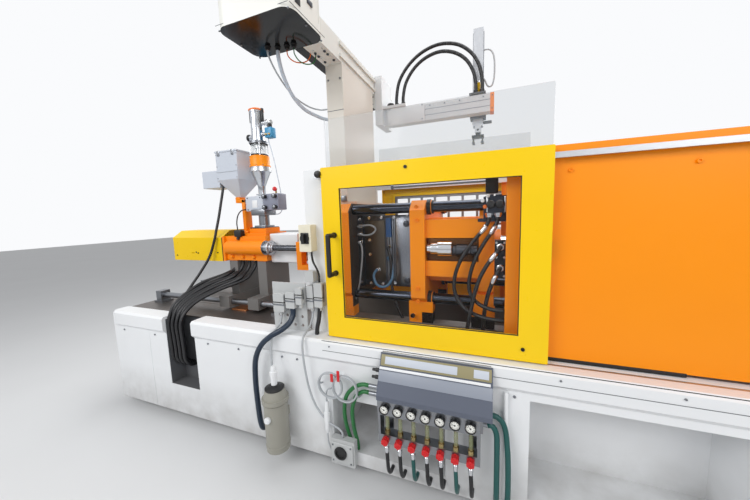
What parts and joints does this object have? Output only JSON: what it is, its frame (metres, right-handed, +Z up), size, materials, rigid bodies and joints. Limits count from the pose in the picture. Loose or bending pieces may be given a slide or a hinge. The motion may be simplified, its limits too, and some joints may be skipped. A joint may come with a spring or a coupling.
{
  "type": "injection moulding machine",
  "caption": "Horizontal injection moulding machine with sliding guard door, barrel unit, hopper, cooling water manifold and a linear take-out robot.",
  "frame": {"origin": "middle of the machine's footprint, on the floor under the levelling feet", "axes": "+X along the machine from the injection unit to the clamp, +Y from the operator's side to the back, +Z up"},
  "size_m": [4.88, 1.71, 3.09],
  "materials": {
    "white_paint": "satin",
    "orange_paint": "satin",
    "panel_orange": "satin",
    "yellow_paint": "satin",
    "grey_paint": "satin",
    "steel": "brushed",
    "tool_steel": "ground",
    "chrome": "polished",
    "aluminium": "anodised",
    "black_plastic": "matte",
    "grey_plastic": "matte",
    "cream_plastic": "matte",
    "red_plastic": "gloss",
    "clear": "clear",
    "rubber": "matte"
  },
  "bodies": {
    "bed": {"base_frame": "white_paint", "aprons": "white_paint", "deck_plate": "steel", "leveling_feet": "tool_steel", "guide_bars": "steel", "fixed_platen": "orange_paint", "tie_bars": "chrome", "tie_nuts": "tool_steel", "clamp_cylinder": "orange_paint", "mould_fixed": "tool_steel", "door_rails": "aluminium", "clamp_panels": "panel_orange", "back_guard": "yellow_paint", "guard_panel": "white_paint", "guard_post": "orange_paint", "isolator_box": "cream_plastic", "top_guard": "clear", "plug_housings": "grey_plastic", "water_filter": "grey_plastic", "flow_hood": "grey_paint", "flow_manifold": "grey_paint", "flow_gauges": "black_plastic", "flow_tubes": "clear", "carriage_rods": "orange_paint", "robot_column": "white_paint", "robot_beam": "white_paint", "robot_cabinet": "grey_paint", "injection_hoses": "rubber", "clamp_hoses": "rubber", "manifold_hoses": "rubber", "plug_cables": "rubber", "column_conduit": "rubber"},
    "door": {"door_frame": "yellow_paint", "door_window": "clear", "door_handle": "black_plastic"},
    "clamp": {"moving_platen": "orange_paint", "mould_moving": "tool_steel", "clamp_ram": "chrome"},
    "ejector": {"ejector": "steel"},
    "carriage": {"injection_casting": "orange_paint", "injection_cover": "yellow_paint", "barrel": "tool_steel", "barrel_guard": "grey_paint", "feed_hopper": "steel", "sight_glass": "clear", "material_box": "grey_paint"},
    "screw": {"screw": "steel"},
    "isolator_knob": {"isolator_knob": "black_plastic"},
    "flow_knob_1": {"flow_knob_1": "red_plastic"},
    "flow_knob_2": {"flow_knob_2": "red_plastic"},
    "flow_knob_3": {"flow_knob_3": "red_plastic"},
    "flow_knob_4": {"flow_knob_4": "red_plastic"},
    "flow_knob_5": {"flow_knob_5": "red_plastic"},
    "flow_knob_6": {"flow_knob_6": "red_plastic"},
    "flow_knob_7": {"flow_knob_7": "red_plastic"},
    "kick_arm": {"kick_arm": "white_paint", "arm_conduits": "rubber"},
    "arm_carriage": {"arm_carriage": "aluminium"},
    "vertical_arm": {"vertical_arm": "white_paint"},
    "gripper": {"gripper": "black_plastic"}
  },
  "joints": [
    {"name": "door_slide", "type": "slide", "parent": "bed", "child": "door", "axis": [1, 0, 0], "range_m": [0, 1.15]},
    {"name": "clamp_stroke", "type": "slide", "parent": "bed", "child": "clamp", "axis": [1, 0, 0], "range_m": [0, 0.4], "deforming": ["clamp_hoses"]},
    {"name": "ejector_stroke", "type": "slide", "parent": "clamp", "child": "ejector", "axis": [-1, 0, 0], "range_m": [0, 0.035]},
    {"name": "carriage_slide", "type": "slide", "parent": "bed", "child": "carriage", "axis": [1, 0, 0], "range_m": [-0.15, 0.15], "deforming": ["injection_hoses"]},
    {"name": "screw_turn", "type": "hinge", "parent": "carriage", "child": "screw", "pos_m": [-1.2, -0.06, 1.37], "axis": [1, 0, 0], "continuous": true},
    {"name": "isolator_turn", "type": "hinge", "parent": "bed", "child": "isolator_knob", "pos_m": [-0.419, -0.62, 1.487], "axis": [0, -1, 0], "range_deg": [-90, 0]},
    {"name": "flow_turn_1", "type": "hinge", "parent": "bed", "child": "flow_knob_1", "pos_m": [0.14, -0.745, 0.375], "axis": [0, -1, 0], "range_deg": [0, 270]},
    {"name": "flow_turn_2", "type": "hinge", "parent": "bed", "child": "flow_knob_2", "pos_m": [0.215, -0.745, 0.375], "axis": [0, -1, 0], "range_deg": [0, 270]},
    {"name": "flow_turn_3", "type": "hinge", "parent": "bed", "child": "flow_knob_3", "pos_m": [0.29, -0.745, 0.375], "axis": [0, -1, 0], "range_deg": [0, 270]},
    {"name": "flow_turn_4", "type": "hinge", "parent": "bed", "child": "flow_knob_4", "pos_m": [0.365, -0.745, 0.375], "axis": [0, -1, 0], "range_deg": [0, 270]},
    {"name": "flow_turn_5", "type": "hinge", "parent": "bed", "child": "flow_knob_5", "pos_m": [0.44, -0.745, 0.375], "axis": [0, -1, 0], "range_deg": [0, 270]},
    {"name": "flow_turn_6", "type": "hinge", "parent": "bed", "child": "flow_knob_6", "pos_m": [0.515, -0.745, 0.375], "axis": [0, -1, 0], "range_deg": [0, 270]},
    {"name": "flow_turn_7", "type": "hinge", "parent": "bed", "child": "flow_knob_7", "pos_m": [0.59, -0.745, 0.375], "axis": [0, -1, 0], "range_deg": [0, 270]},
    {"name": "robot_traverse", "type": "slide", "parent": "bed", "child": "kick_arm", "axis": [0, 1, 0], "range_m": [-0.62, 0.16]},
    {"name": "arm_kick", "type": "slide", "parent": "kick_arm", "child": "arm_carriage", "axis": [1, 0, 0], "range_m": [-0.4, 0.03], "deforming": ["arm_conduits"]},
    {"name": "arm_lower", "type": "slide", "parent": "arm_carriage", "child": "vertical_arm", "axis": [0, 0, 1], "range_m": [-0.55, 0]},
    {"name": "gripper_tilt", "type": "hinge", "parent": "vertical_arm", "child": "gripper", "pos_m": [0.556, 0.587, 2.3], "axis": [0, 1, 0], "range_deg": [0, 90]}
  ]
}
